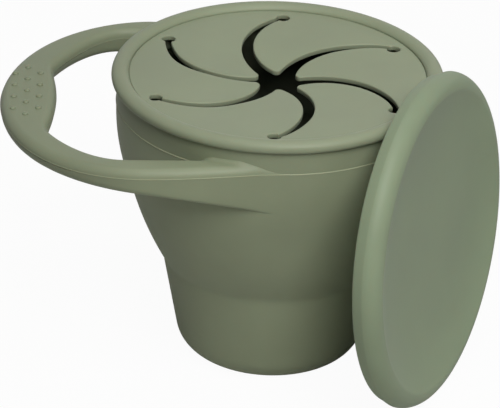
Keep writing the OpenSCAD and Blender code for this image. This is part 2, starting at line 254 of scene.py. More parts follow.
def mesh_object(name, points, faces, material, crease, **shares):
    """A closed object at the origin, smooth-shaded up to the crease angle in degrees. Each share
    is an attribute of the points for the material: flash is 1 on a parting line, and deep is 1
    inside the cup, where the material paints shade."""
    mesh = bpy.data.meshes.new(name)
    mesh.from_pydata([tuple(p) for p in points], [], faces)
    for share, values in shares.items():
        mesh.attributes.new(share, "FLOAT", "POINT").data.foreach_set("value", values)
    work = bmesh.new()
    work.from_mesh(mesh)
    bmesh.ops.remove_doubles(work, verts=work.verts, dist=WELD)
    bmesh.ops.recalc_face_normals(work, faces=work.faces)
    for face in work.faces:
        face.smooth = True
    open_edges = sum(len(edge.link_faces) != 2 for edge in work.edges)
    if open_edges:
        raise RuntimeError(f"{name} has {open_edges} open edges")
    for edge in work.edges:
        edge.smooth = edge.calc_face_angle() < math.radians(crease)
    work.to_mesh(mesh)
    work.free()
    mesh.materials.append(material)
    return add_object(name, mesh)


def revolve(outline, count, phase=0.0):
    """Points and faces of a closed (radius, height) outline turned about Z."""
    points, rings = [], []
    for r, z in outline:
        if r < TINY:
            rings.append([len(points)] * count)
            points.append((0, 0, z))
        else:
            rings.append(list(range(len(points), len(points) + count)))
            points += [(*polar(r, phase + math.tau * i / count), z) for i in range(count)]
    faces = []
    for a, b in zip(rings, rings[1:] + rings[:1]):
        for i in range(count):
            j = (i + 1) % count
            corners = list(dict.fromkeys((a[i], a[j], b[j], b[i])))
            if len(corners) > 2:
                faces.append(corners)
    return points, faces


# ---- The cup's side ----


class Side:
    """Outside of the cup: a cone, the band's curve, a flank, a shoulder and a straight collar."""

    def __init__(self, s):
        self.s = s
        self.flank_low = s.crease_h + s.bulge_h
        self.flank_high = self.flank_low + s.flank_h
        self.top = self.flank_high + s.shoulder_h
        self.shoulder = s.shoulder_h / math.sin(s.flank_lean)
        self.bulge = s.bulge_h / (math.sin(s.crease_lean) - math.sin(s.flank_lean))
        self.high_r = s.collar_r - self.shoulder * (1 - math.cos(s.flank_lean))
        self.low_r = self.high_r - s.flank_h * math.tan(s.flank_lean)
        self.crease_r = self.low_r - self.bulge * (math.cos(s.flank_lean)
                                                   - math.cos(s.crease_lean))
        self.parting = s.height - s.parting_drop

    def sharp(self, z):
        """Outside radius at height z, with a sharp crease."""
        s = self.s
        if z < s.crease_h:
            return self.crease_r - (s.crease_h - z) * math.tan(s.base_lean)
        if z < self.flank_low:
            lean = math.asin(math.sin(s.flank_lean) + (self.flank_low - z) / self.bulge)
            return self.low_r - self.bulge * (math.cos(s.flank_lean) - math.cos(lean))
        if z < self.flank_high:
            return self.high_r - (self.flank_high - z) * math.tan(s.flank_lean)
        if z < self.top:
            lean = math.asin((self.top - z) / self.shoulder)
            return s.collar_r - self.shoulder * (1 - math.cos(lean))
        return s.collar_r

    def radius(self, z):
        """Outside radius at height z, with the crease a little rounded, as moulded rubber is."""
        return blurred(self.sharp, z, 0.0007, 8)

    def wall(self, z):
        """Wall at height z: thick below, thin in the folding band and thick above."""
        s, change = self.s, 0.003
        low = ease((z - s.crease_h + change / 3) / change)
        high = ease((z - s.crease_h - s.band_h + 2 * change / 3) / change)
        thin = s.base_wall + (s.band_wall - s.base_wall) * low
        return thin + (s.collar_wall - thin) * high

    def encloses(self, r, z):
        """Whether a point of the cup's surface is on the inside."""
        return z > 0.9 * self.s.floor and r < self.radius(z) - 0.7 * self.wall(z)


def cup_outline(s):
    """Closed section of the cup from the middle of its foot, up the outside and down inside."""
    side = Side(s)
    join, beside = 0.001, 0.0012  # from a rounded corner and from the parting line to the next ring

    def corner(side_r, z, r, n):
        """Arc of radius r between the level z and the leaning side."""
        middle = side_r + (z + r) * math.tan(s.base_lean) - r / math.cos(s.base_lean)
        return arc((middle, z + r), r, -90, -math.degrees(s.base_lean), n)

    foot_r, parting, lip = side.sharp(0), side.parting, s.lip_round
    foot = corner(foot_r, 0, s.foot_round, 16)
    well = corner(foot_r - s.base_wall / math.cos(s.base_lean), s.floor, s.well_round, 12)
    line = [(side.radius(parting + t * s.flash) + s.flash * (t == 0), parting + t * s.flash)
            for t in (-2, -1, 0, 1, 2)]
    outside = [(side.radius(z), z) for z in steps(foot[-1][1] + join, parting - beside, 64)]
    outside += line
    outside += [(side.radius(z), z) for z in steps(parting + beside, s.height - 2 * lip, 5)]
    rim = arc((s.collar_r - lip, s.height - lip), lip, 0, 90, 6)
    rim += arc((s.collar_r - s.collar_wall + lip, s.height - lip), lip, 90, 180, 6)
    inside = [(side.radius(z) - side.wall(z), z)
              for z in steps(s.height - 2 * join, well[-1][1] + join, 60)]
    return ([(0, 0), (foot[0][0] / 2, 0)] + foot + outside + rim + inside + well[::-1]
            + [(well[0][0] / 2, s.floor), (0, s.floor)])


# ---- The loop handle ----


def bezier(p, t):
    """Point of a cubic curve in the plane."""
    q = np.asarray(p, float)
    return (q[0] * (1 - t) ** 3 + q[1] * 3 * t * (1 - t) ** 2 + q[2] * 3 * t * t * (1 - t)
            + q[3] * t ** 3)


class Handle:
    """The loop handle: its plan, its section and its surface."""

    MELT_END = 0.03  # the arms' faces leave the wall at this distance from the cup's middle
    ROOT_END, ROOT_FADE = 0.024, 0.005  # where the fillet ends, and the length of its fade
    SUNK = 0.0002  # how far inside the wall the fillet starts
    FLUSH = 0.00004  # a melted face that stands out by less than this lies under the wall
    DEEPEST = 0.0012  # how deep in the wall a point may lie
    HAIR = 0.0001  # from the parting line to the points beside it

    def __init__(self, cup, sizes):
        self.s = sizes
        self.cup = cup
        self.side = Side(cup)
        self.grip_x = cup.collar_r + sizes.reach
        self.in_x = self.grip_x - sizes.grip_w
        self.edges = {side: self.plan(side) for side in (-1, 1)}

    def plan(self, side):
        """Outer and inner edge of one half, from the grip's middle to the cup. The front half,
        side -1, is a little fuller than the back one, as the soft loop hangs."""
        s, r = self.s, self.cup.collar_r
        grip_half = s.grip_half - side * s.grip_aside
        arm_y, in_y = r + s.arm_bulge, r - s.arm_inset + side * s.uneven / 4
        notch = self.in_x + grip_half ** 2 / (2 * s.grip_crown)
        in_turn = s.arm_turn + 0.007
        # A pull is the distance of a curve's control point from its end
        end_pull, side_pull, arm_pull, in_pull = 0.025, 0.0268 - side * s.uneven / 2, 0.010, 0.009
        notch_pull, near_root = (-0.0035, 0.0083), (0.011, r + 0.0014)
        grip = [(self.grip_x, 0), (self.grip_x, end_pull), (s.arm_turn + side_pull, arm_y),
                (s.arm_turn, arm_y)]
        arm = [(s.arm_turn, arm_y), (s.arm_turn - arm_pull, arm_y), near_root,
               (-s.arm_past, r - s.arm_bury)]
        bend = [(notch, grip_half), (notch + notch_pull[0], grip_half + notch_pull[1]),
                (in_turn + in_pull, in_y), (in_turn, in_y)]
        share = 0.34  # of the outer curve, which lies beside the grip
        narrow, narrowed = 0.45, 0.85  # shares of the arm between which its buried part narrows
        outer, inner = [], []
        for t in steps(0, 1, 14):
            y = grip_half * t
            outer.append(bezier(grip, share * t))
            inner.append((self.in_x + y * y / (2 * s.grip_crown), y))
        for t in steps(0, 1, 40)[1:]:
            outer.append(bezier(grip, share + (1 - share) * t))
            inner.append(bezier(bend, t))
        for t in steps(0, 1, 46)[1:]:
            outer.append(bezier(arm, t))
            inner.append((in_turn - (s.arm_past + in_turn) * t,
                          in_y + s.root_in * ease((t - narrow) / (narrowed - narrow))))
        inner = np.array(inner)
        for _ in range(6):  # takes the corners out of the inner edge
            inner[1:-1] = (inner[:-2] + 2 * inner[1:-1] + inner[2:]) / 4
        return np.array(outer), inner

    def bend(self, half):
        """Radius of the top's rounded sides, which never quite meet on a narrow section."""
        return min(self.s.top, 0.98 * half)

    def rise(self, half, across):
        """Height of the top above the parting line: round at the sides, nearly flat between."""
        past = min(1.0, max(0.0, (abs(across) - half) / self.bend(half) + 1))
        crown = 0.08 * (1 - (across / half) ** 2)
        return self.s.top * (0.92 * math.sqrt(1 - past ** 2) + crown)

    def section(self, half, x):
        """One section as (across, up, flash) from the outer side over the top: round above the
        parting line, and below it a flat side with a rounded lower edge, as the mould has. The
        two points at height 0 stand out as the flash."""
        s = self.s
        near_cup = max(0.0, 1 - x / self.in_x)
        curve = 1.85  # the gusset deepens ever faster towards the cup
        depth = s.depth + s.gusset * near_cup ** curve
        edge = min(0.85 * depth, 0.9 * half, s.depth * (0.85 - 0.5 * min(1, 2 * near_cup)))
        bend = self.bend(half)
        places = [half + bend * (c - 1) for c, _ in arc((0, 0), 1, 0, 90, 14)]
        places += steps(places[-1], 0, 12)[1:]
        upper = [(across, self.rise(half, across), 0.0) for across in places]
        upper[0:1] = [(half, 0.0, 1.0), (half, self.HAIR, 1.0)]
        upper += [(-across, up, 0.0) for across, up, _ in upper[-2:0:-1]]
        flat = depth - edge
        lower = [(half, -self.HAIR), (half, -3 * self.HAIR)]
        lower += [(half, -flat * t) for t in (0.25, 0.5, 0.75)]
        lower += arc((half - edge, -flat), edge, 0, -90, 7)
        lower += [((half - edge) * t, -depth) for t in (0.66, 0.33)]
        draft = 0.04  # the mould's sides close in by this share of the depth
        lower = [(across * (1 + draft * up / half), up, float(up > -2 * self.HAIR))
                 for across, up in lower]
        mirrored = [(-across, up, flash) for across, up, flash in lower]
        return (upper + [(-half, 0.0, 1.0)] + mirrored + [(0.0, -depth, 0.0)] + lower[::-1])

    def point(self, o, n, across, up):
        """Place of a section's point between two points of the plan."""
        s, r = self.s, self.cup.collar_r
        x, half = (o[0] + n[0]) / 2, np.linalg.norm(o - n) / 2
        if up == 0:
            across += math.copysign(self.cup.flash, across)
        p = n + (o - n) * (1 + across / half) / 2
        z = self.side.parting + up - p[0] * math.tan(s.droop)
        # The arms draw in with the cup's side below the straight collar
        tuck = 1 - min(1.0, max(0.0, o[0] / s.arm_turn))
        p[1] -= tuck * (r - self.side.radius(z))
        # The fillet at the root swells the top near the wall, and fades where the arm ends
        stand = math.hypot(*o) - r
        grown = ease((self.ROOT_END - x) / self.ROOT_FADE)
        swell = min(s.root_round, 0.75 * max(0.0, stand)) * grown
        if up > 0 and swell > 1e-6:
            off = max(0.0, math.hypot(*p) - self.side.radius(z) + self.SUNK)
            clear = swell - min(swell, off)
            z += (swell - math.sqrt(swell ** 2 - clear ** 2)) * ease(2 * up / s.top)
        # The outer face melts into the wall, and what would reach the cup's hollow stays buried
        wall, out = self.side.radius(z), math.hypot(*p)
        clear, melt = out - wall, s.melt
        if x < self.MELT_END and across > 0 and clear < melt:
            melted = max(0.0, clear + melt) ** 2 / (4 * melt) - self.FLUSH
            below, outward = ease(1 - 1.6 * up / s.top), ease((across / half - 0.2) / 0.4)
            clear += (melted - clear) * outward * below
        p = p * (wall + max(clear, -self.DEEPEST)) / out
        return p[0], p[1], z

    def mesh(self):
        """Points, faces and flash of the whole sweep with its two buried ends."""
        last = len(self.edges[1][0]) - 1
        halves = [(i, -1) for i in range(last, 0, -1)] + [(i, 1) for i in range(last + 1)]
        points, flash = [], []
        for i, sign in halves:
            o, n = (edge[i] for edge in self.edges[sign])
            section = self.section(np.linalg.norm(o - n) / 2, (o[0] + n[0]) / 2)
            for place in section:
                x, y, z = self.point(o, n, *place[:2])
                points.append(self.turned(-x, sign * y, z))
                flash.append(place[2])
        n, faces = len(section), []
        for j in range(len(halves) - 1):
            for k in range(n):
                a, b = j * n + k, j * n + (k + 1) % n
                faces.append((a, b, b + n, a + n))
        faces.append(tuple(range(n)))
        faces.append(tuple(range((len(halves) - 1) * n, len(halves) * n)))
        return points, faces, flash

    def turned(self, x, y, z):
        """The point with the whole handle turned round the cup."""
        return Matrix.Rotation(self.s.turn, 3, "Z") @ Vector((x, y, z))

    def top(self, x, y):
        """Height of the grip's top surface over a point of its plan."""
        outer = self.edges[1][0]
        half = self.s.grip_w / 2
        gap = min(math.dist((x, abs(y)), place) for place in outer)
        up = self.rise(half, half - min(gap, half))
        return self.side.parting + up - x * math.tan(self.s.droop)


# ---- The lid ----


# The groove between the roll and the disc, as places out from the disc and below its top
GROOVE = ((0.00035, 0.0001), (0.00025, 0.0003), (0.0001, 0.00025))
# How far each end hole of the used lid sits off its even place, in millimetres
HOLE_SHIFTS = ((0, 0), (0.7, 1.65), (-0.8, 1.3), (0.5, -0.9), (0.8, 0), (-0.4, 1.4))


def rim_radius(cup, lid):
    """Outside radius of the lid."""
    return cup.collar_r + lid.gap + lid.skin


def rim_outline(cup, lid):
    """Closed section of the lid's rim with its plug, up to the seam with the flaps' disc."""
    rim_r, disc_top = rim_radius(cup, lid), cup.height + lid.disc_rise
    plug_r = cup.collar_r - cup.collar_wall - lid.gap
    plug_in, low = plug_r - lid.plug_wall, cup.height - lid.plug_drop
    groove_r, groove_top = cup.collar_r + lid.gap, cup.height + lid.gap
    lip_low, disc_r = cup.height - lid.lip_drop, rim_r - lid.rim_w
    soft, bevel = 0.0005, 0.0002
    outline = arc((plug_in + soft, low + soft), soft, 180, 270, 5)
    outline += arc((plug_r - soft, low + soft), soft, 270, 360, 5)
    outline += [(plug_r, z) for z in steps(low + 3 * soft, groove_top, 3)]
    outline += [(groove_r, groove_top), (groove_r, lip_low + bevel), (groove_r + bevel, lip_low)]
    outline += arc((rim_r - lid.lip_round, lip_low + lid.lip_round), lid.lip_round, -90, 0, 8)
    outline += [(rim_r + lid.roll_w * (c - 1), disc_top - lid.roll_sink + lid.roll_r * up)
                for c, up in arc((0, 0), 1, 0, math.degrees(lid.roll_turn), 28)]
    outline += [(disc_r + out, disc_top - down) for out, down in GROOVE]
    return outline + [(disc_r, disc_top), (disc_r, disc_top - lid.disc_t),
                      (plug_in, disc_top - lid.disc_t)]


def circles_meet(c1, r1, c2, r2, pick):
    """The point at r1 from c1 and r2 from c2 for which pick gives more."""
    d = np.linalg.norm(c2 - c1)
    u = (c2 - c1) / d
    a = (d * d + r1 * r1 - r2 * r2) / (2 * d)
    h = math.sqrt(r1 * r1 - a * a) * np.array([-u[1], u[0]])
    return max((c1 + a * u + h, c1 + a * u - h), key=pick)


def sweep(centre, start, end, clockwise, pitch, side):
    """Points round centre from start to end, with the outward normal that side gives."""
    r = np.linalg.norm(start - centre)
    a, b = (math.atan2(*(p - centre)[::-1]) for p in (start, end))
    while clockwise and b > a:
        b -= math.tau
    while not clockwise and b < a:
        b += math.tau
    turns = steps(a, b, max(2, int(abs(b - a) * r / pitch)))
    return [(centre + polar(r, t), polar(side, t)) for t in turns]


def flap_edges(cup, lid):
    """Outline of one sector of the disc with its flap, whose hinge line crosses +X: the free edge
    with its normals, from one end hole round the flap to the other, the seam, and the centre of
    the outer slit edge."""
    half = SECTOR / 2
    inner_c = polar(lid.inner_reach, half - lid.inner_turn)
    outer_c = polar(lid.outer_reach, -half - lid.outer_turn)
    left, right = polar(lid.hole_circle, half), polar(lid.hole_circle, -half)
    near = [circles_meet(hole, lid.hole_r, c, r, lambda p: -np.linalg.norm(p))
            for hole, c, r in ((left, inner_c, lid.inner_r), (right, outer_c, lid.outer_r))]
    far = [polar(lid.hole_circle + lid.hole_r, a) for a in (half, -half)]
    tip = circles_meet(inner_c, lid.inner_r - lid.tip_r, outer_c, lid.outer_r + lid.tip_r,
                       lambda p: p[1])
    touch = [c + (tip - c) / np.linalg.norm(tip - c) * r
             for c, r in ((inner_c, lid.inner_r), (outer_c, lid.outer_r))]
    pitch = 0.0006
    free = sweep(left, far[0], near[0], True, pitch / 2, -1)
    corners = [len(free) - 1]
    free += sweep(inner_c, near[0], touch[0], False, pitch, 1)[1:]
    free += sweep(tip, touch[0], touch[1], False, pitch / 2, 1)[1:]
    free += sweep(outer_c, touch[1], near[1], True, pitch, -1)[1:]
    corners.append(len(free) - 1)
    free += sweep(right, near[1], far[1], True, pitch / 2, -1)[1:]
    for i in corners:
        # The normal of a corner is the mitre of its neighbours', up to a limit
        mid = (free[i - 1][1] + free[i + 1][1]) / 2
        free[i] = (free[i][0], mid / max(0.4, np.dot(mid, mid)))
    disc_r = rim_radius(cup, lid) - lid.rim_w
    radial = steps(lid.hole_circle + lid.hole_r, disc_r, 5)[1:-1]
    seam = [polar(r, -half) for r in radial]
    seam += [polar(disc_r, t) for t in steps(-half, half, SEGMENTS // FLAPS)]
    seam += [polar(r, half) for r in radial[::-1]]
    return *(np.array(list(part)) for part in zip(*free)), np.array(seam), outer_c


def inside_polygon(points, polygon):
    """Which points lie in a polygon, by counting crossings."""
    inside = np.zeros(len(points), bool)
    for a, b in zip(polygon, np.roll(polygon, -1, axis=0)):
        spans = (a[1] > points[:, 1]) != (b[1] > points[:, 1])
        rise = b[1] - a[1] if b[1] != a[1] else 1e-12
        inside ^= spans & (points[:, 0] < a[0] + (points[:, 1] - a[1]) * (b[0] - a[0]) / rise)
    return inside


def flap_mesh(cup, lid, lift):
    """Points and faces of one flap with its share of the disc, in its own frame. A flap that has
    been pushed and let go keeps a small lift along one edge."""
    edge, normal, seam, outer_c = flap_edges(cup, lid)
    disc_top = cup.height + lid.disc_rise
    soft, tall = lid.edge_round, lid.disc_t
    root, free, fade = 0.033, 0.014, 0.009  # where a lift starts, is whole, and how fast it fades
    sag = 1.4  # the dish deepens ever faster towards the middle

    def surface(xy):
        """Height of the dished disc's top, with the flap's lift."""
        r = np.hypot(xy[:, 0], xy[:, 1])
        off = np.hypot(xy[:, 0] - outer_c[0], xy[:, 1] - outer_c[1]) - lid.outer_r
        loose = np.clip((root - xy[:, 0]) / free, 0, 1)
        raised = lift * loose ** 2 * (3 - 2 * loose) * np.exp(-np.clip(off, 0, 1) / fade)
        return disc_top - lid.dish * np.clip(1 - r / lid.dish_r, 0, 1) ** sag + raised

    turns = [math.radians(t) for t in steps(0, 90, 4)]
    loops = [(soft * (1 - math.sin(t)), soft * (1 - math.cos(t))) for t in turns]
    loops += [(back, tall - drop) for back, drop in loops[::-1]]
    level = surface(np.vstack([edge - normal * soft, seam]))
    count = len(level)
    points = []
    for back, drop in loops:
        xy = np.vstack([edge - normal * back, seam])
        points += [(x, y, z - drop) for (x, y), z in zip(xy, level)]
    faces = []
    for j in range(len(loops) - 1):
        for i in range(count):
            a, b = j * count + i, j * count + (i + 1) % count
            faces.append((a, a + count, b + count, b))
    rim = np.array([p[:2] for p in points[:count]])
    # Even triangles fill the flap, and stay clear of its edge
    pitch, wide, long = 0.0013, 0.024, 0.045
    grid = np.array([(x + (j % 2) * pitch / 2, y)
                     for j, y in enumerate(np.arange(-wide, wide, pitch * 0.866))
                     for x in np.arange(0.0, long, pitch)])
    grid = grid[inside_polygon(grid, rim)]
    clear = np.min(np.linalg.norm(grid[:, None] - rim[None], axis=2), axis=1)
    grid = grid[clear > 0.55 * pitch]
    flat = [Vector(p) for p in np.vstack([rim, grid])]
    result = delaunay_2d_cdt(flat, [], [list(range(count))], 1, 1e-9)
    source = [ids[0] for ids in result[3]]
    last, upper = (len(loops) - 1) * count, len(points)
    lower = upper + len(grid)
    for drop in (0, tall):
        points += [(x, y, z - drop) for (x, y), z in zip(grid, surface(grid))]
    for face in result[2]:
        ids = [source[i] for i in face]
        faces.append([i if i < count else upper + i - count for i in ids])
        faces.append([last + i if i < count else lower + i - count for i in ids[::-1]])
    return points, faces


def settled(cup, lid, p):
    """The point of the disc where the used, slightly stretched lid has it: each end hole sits a
    little off its even place, and the flaps' tips have drawn back from the middle."""
    rim, around, middle = 0.0035, 0.009, 0.01  # widths of the three zones of change
    r = math.hypot(p.x, p.y)
    free = ease((rim_radius(cup, lid) - lid.rim_w - r) / rim)
    moved = p.copy()
    for k, shift in enumerate(HOLE_SHIFTS):
        hole = polar(lid.hole_circle, lid.hole_angle + SECTOR * k)
        near = free * math.exp(-((p.x - hole[0]) ** 2 + (p.y - hole[1]) ** 2) / around ** 2)
        moved += Vector((*shift, 0)) * (near / 1000)
    drawn = lid.tip_back * math.exp(-(r / middle) ** 2) / max(r, middle / 10)
    return moved + Vector((p.x, p.y, 0)) * drawn


# ---- The dust cover ----


def cover_outline(s):
    """Closed section of the cover, with its crest at height 0 and its open edge below."""
    crest_r = s.radius - s.crest_round
    slope_in = crest_r - s.face_slope
    open_r = s.radius - s.draft
    in_r, edge_r = open_r - s.wall, s.wall / 2
    fillet_r = in_r - s.fillet
    curve, foot_blur = 2.4, 0.003  # how steeply the slope starts, and how soft its foot is

    def sharp(r):
        """Height of the face at radius r, with a sharp foot of the slope."""
        r = abs(r)
        left = max(0.0, 1 - (crest_r - r) / s.face_slope)
        return -s.face_drop * (1 - left ** curve) - s.face_dish * (1 - (r / crest_r) ** 2)

    def face(r):
        """Height of the face at radius r."""
        return blurred(sharp, r, min(foot_blur, crest_r - r), 12)

    radii = steps(0, slope_in, 16) + steps(slope_in, crest_r, 36)[1:-1]
    outline = [(r, face(r)) for r in radii]
    outline += arc((crest_r, -s.crest_round), s.crest_round, 90, 0, 18)
    outline += arc((open_r - edge_r, edge_r - s.depth), edge_r, 0, -180, 12)
    outline += arc((fillet_r, face(fillet_r) - s.wall - s.fillet), s.fillet, 0, 90, 10)
    inside = [r for r in radii[::-1] if r < fillet_r - 0.0003]
    return outline + [(r, face(r) - s.wall) for r in inside]


def cover_place(s):
    """Matrix that stands the cover on the table and leans it on the lid."""
    height = (s.radius - s.crest_round) * math.cos(s.lean) + s.crest_round * (1 + math.sin(s.lean))
    return (Matrix.Rotation(s.turn, 4, "Z") @ Matrix.Translation((s.out, -s.side, height))
            @ Matrix.Rotation(math.pi / 2 - s.lean, 4, "Y"))


# ---- Materials ----


def add_node(tree, kind, settings=None, **inputs):
    """Adds a node, sets its own settings, and sets or links its inputs. An underscore in an
    input's name stands for a space, _0 is the first input, and a node gives its first output."""
    made = tree.nodes.new(kind)
    for key, value in (settings or {}).items():
        setattr(made, key, value)
    for key, value in inputs.items():
        place = int(key[1:]) if key[0] == "_" else key.replace("_", " ")
        if isinstance(value, bpy.types.Node):
            value = value.outputs[0]
        if isinstance(value, bpy.types.NodeSocket):
            tree.links.new(value, made.inputs[place])
        else:
            made.inputs[place].default_value = value
    return made


def new_material(name):
    """An empty node material."""
    material = bpy.data.materials.new(name)
    material.use_nodes = True
    material.node_tree.nodes.clear()
    return material


def scaled(shade, by):
    """A linear colour made lighter or darker, with alpha."""
    return [min(1.0, c * by) for c in shade] + [1.0]


def matte_silicone(name, shade, finishes):
    """Silicone from a bead-blasted mould: an even, powdery matte with no hard glint, a soft glow
    where the surface turns away, and a colour that clouds a little from place to place."""
    material = new_material(name)
    node = partial(add_node, material.node_tree)
    place = node("ShaderNodeTexCoord").outputs["Object"]
    cloud = node("ShaderNodeTexNoise", Vector=place, Scale=1 / finishes.cloud, Detail=3.0,
                 Roughness=0.55)
    tone = node("ShaderNodeMapRange", Value=cloud, From_Min=0.3, From_Max=0.7)
    body = node("ShaderNodeMix", {"data_type": "RGBA"}, _0=tone, _6=scaled(shade, 0.94),
                _7=scaled(shade, 1.05))
    # Painted highlight: the thin flash where the mould's halves met is drawn paler, as light
    # catches its ridge
    flash = node("ShaderNodeAttribute", {"attribute_name": "flash"})
    lined = node("ShaderNodeMix", {"data_type": "RGBA"}, _0=flash.outputs["Fac"],
                 _6=body.outputs[2], _7=scaled(finishes.flash, 1.0))
    # Painted shade: the silicone is darkened towards the grip, where less light falls
    x = node("ShaderNodeSeparateXYZ", _0=place).outputs["X"]
    grip_side_shade = node("ShaderNodeMapRange", Value=x, From_Min=-0.055, From_Max=-0.02, To_Min=0.82,
                 To_Max=1.0)
    # Painted shade: the inside of the cup is darkened with depth, so that it shows almost black
    # through the slits
    deep = node("ShaderNodeAttribute", {"attribute_name": "deep"})
    inside_shade = node("ShaderNodeMath", {"operation": "MULTIPLY_ADD"}, _0=deep.outputs["Fac"], _1=-0.72,
                 _2=1.0)
    value = node("ShaderNodeMath", {"operation": "MULTIPLY"}, _0=grip_side_shade, _1=inside_shade)
    # The colour with both painted shades: darker towards the grip and inside the cup
    painted_shade_colour = node("ShaderNodeHueSaturation", Color=lined.outputs[2], Value=value)
    rough = node("ShaderNodeMapRange", Value=cloud, From_Min=0.3, From_Max=0.7, To_Min=0.42,
                 To_Max=0.5)
    # The real blasted texture is about 0.05 mm, too fine to show, so it is drawn coarser
    grain = node("ShaderNodeTexNoise", Vector=place, Scale=1 / finishes.grain, Detail=2.0)
    bump = node("ShaderNodeBump", Height=grain, Strength=0.25, Distance=0.00004)
    shader = node("ShaderNodeBsdfPrincipled", Base_Color=painted_shade_colour, Roughness=rough, Normal=bump,
                  IOR=1.41, Specular_IOR_Level=0.32, Sheen_Weight=0.03, Sheen_Roughness=0.5,
                  Subsurface_Weight=0.08, Subsurface_Scale=0.002)
    node("ShaderNodeOutputMaterial", Surface=shader)
    return material


def paper_sweep(name, shade):
    """Matte paper sweep. To the camera it glows by the share below, so that it is almost as white
    as the backdrop and keeps a faint shadow."""
    glow_share = 0.96
    material = new_material(name)
    node = partial(add_node, material.node_tree)
    paper = node("ShaderNodeBsdfDiffuse", Color=scaled(shade, 1.0))
    glow = node("ShaderNodeEmission", Color=(1, 1, 1, 1), Strength=1.0)
    path = node("ShaderNodeLightPath")
    part = node("ShaderNodeMath", {"operation": "MULTIPLY"}, _0=path.outputs["Is Camera Ray"],
                _1=glow_share)
    both = node("ShaderNodeMixShader", _0=part, _1=paper, _2=glow)
    node("ShaderNodeOutputMaterial", Surface=both)
    return material


# ---- Operators ----


def silicone(kind):
    """The silicone of the cup, the lid or the cover, made once."""
    finishes = bpy.context.scene.snack_finishes
    name = ("cool_" if kind == "cover" else "") + f"sage_matte_silicone_{kind}"
    return bpy.data.materials.get(name) or matte_silicone(name, getattr(finishes, kind), finishes)


class SNACK_OT_cup(bpy.types.Operator):
    """Build the cup in one piece; on the real cup the thin band folds when it collapses"""

    bl_idname = "snack.cup"
    bl_label = "Cup"

    def execute(self, context):
        cup = context.scene.snack_cup
        points, faces = revolve(cup_outline(cup), TURNS)
        side, inside_shade_top, inside_shade_fade = Side(cup), 0.005, 0.007  # below the lip, and its soft start
        flash = [float(abs(z - side.parting) < 1.1 * cup.flash) for _, _, z in points]
        # Painted shade: deep eases from 0 a little below the lip to 1 deeper inside the cup, where
        # the material darkens it
        deep = [ease((cup.height - inside_shade_top - z) / inside_shade_fade)
                * side.encloses(math.hypot(x, y), z) for x, y, z in points]
        thing = mesh_object("cup", points, faces, silicone("cup"), 35, flash=flash, deep=deep)
        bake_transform(thing)
        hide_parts("cup_base", "fold_band", "cup_collar")
        return {"FINISHED"}


class SNACK_OT_handle(bpy.types.Operator):
    """Build the loop handle"""

    bl_idname = "snack.handle"
    bl_label = "Loop handle"

    def execute(self, context):
        handle = Handle(context.scene.snack_cup, context.scene.snack_handle)
        points, faces, flash = handle.mesh()
        thing = mesh_object("loop_grip", points, faces, silicone("cup"), 180, flash=flash)
        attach(thing, "collar")
        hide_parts("loop_handle")
        return {"FINISHED"}


class SNACK_OT_dots(bpy.types.Operator):
    """Set the raised dots on the grip"""

    bl_idname = "snack.dots"
    bl_label = "Grip dots"

    def tree(self, material):
        """Nodes that set a soft dome on every point."""
        tree = bpy.data.node_groups.new("grip_dots", "GeometryNodeTree")
        face = tree.interface
        face.new_socket("Points", in_out="INPUT", socket_type="NodeSocketGeometry")
        for name in ("Dot diameter", "Dot height"):
            socket = face.new_socket(name, in_out="INPUT", socket_type="NodeSocketFloat")
            socket.subtype = "DISTANCE"
        face.new_socket("Seed", in_out="INPUT", socket_type="NodeSocketInt")
        face.new_socket("Dots", in_out="OUTPUT", socket_type="NodeSocketGeometry")
        node = partial(add_node, tree)
        inputs = node("NodeGroupInput").outputs
        radius = node("ShaderNodeMath", {"operation": "DIVIDE"}, _0=inputs["Dot diameter"], _1=2.0)
        ball = node("GeometryNodeMeshUVSphere", Segments=24, Rings=16, Radius=1.0)
        smooth = node("GeometryNodeSetShadeSmooth", Geometry=ball)
        size = node("ShaderNodeCombineXYZ", X=radius, Y=radius, Z=inputs["Dot height"])
        turn = node("FunctionNodeRandomValue", {"data_type": "FLOAT_VECTOR"}, _0=(0, 0, 0),
                    _1=(0, 0, math.tau), Seed=inputs["Seed"])
        places = node("GeometryNodeInstanceOnPoints", Points=inputs["Points"], Instance=smooth,
                      Rotation=turn, Scale=size)
        real = node("GeometryNodeRealizeInstances", Geometry=places)
        done = node("GeometryNodeSetMaterial", Geometry=real, Material=material)
        node("NodeGroupOutput", Dots=done)
        return tree

    def execute(self, context):
        sizes, finishes = context.scene.snack_handle, context.scene.snack_finishes
        handle = Handle(context.scene.snack_cup, sizes)
        points = []
        for row, count in enumerate((4, 5, 4)):
            x = handle.grip_x - sizes.dot_edge - sizes.dot_row * row
            for k in range(count):
                y = sizes.dot_pitch * (k - (count - 1) / 2) + sizes.dot_aside
                points.append(handle.turned(-x, y, handle.top(x, y)))
        mesh = bpy.data.meshes.new("dot_points")
        mesh.from_pydata(points, [], [])
        base = add_object("dot_points", mesh)
        modifier = base.modifiers.new("dots", "NODES")
        modifier.node_group = self.tree(silicone("cup"))
        values = {"Dot diameter": sizes.dot_d, "Dot height": sizes.dot_h, "Seed": finishes.seed}
        for item in modifier.node_group.interface.items_tree:
            if item.in_out == "INPUT" and item.name in values:
                modifier[item.identifier] = values[item.name]
        graph = context.evaluated_depsgraph_get()
        solid = bpy.data.meshes.new_from_object(base.evaluated_get(graph), depsgraph=graph)
        bpy.data.objects.remove(base)
        if not solid.polygons:
            raise RuntimeError("the grip dots came out empty")
        thing = add_object("grip_dots", solid)
        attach(thing, "collar")
        return {"FINISHED"}


class SNACK_OT_rim(bpy.types.Operator):
    """Build the lid's rolled rim and plug"""

    bl_idname = "snack.rim"
    bl_label = "Lid rim"

    def execute(self, context):
        cup, lid = context.scene.snack_cup, context.scene.snack_lid
        turned = revolve(rim_outline(cup, lid), SEGMENTS, lid.hole_angle)
        thing = mesh_object("lid_rim", *turned, silicone("lid"), 40)
        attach(thing, "lid")
        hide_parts("lid_ring")
        return {"FINISHED"}


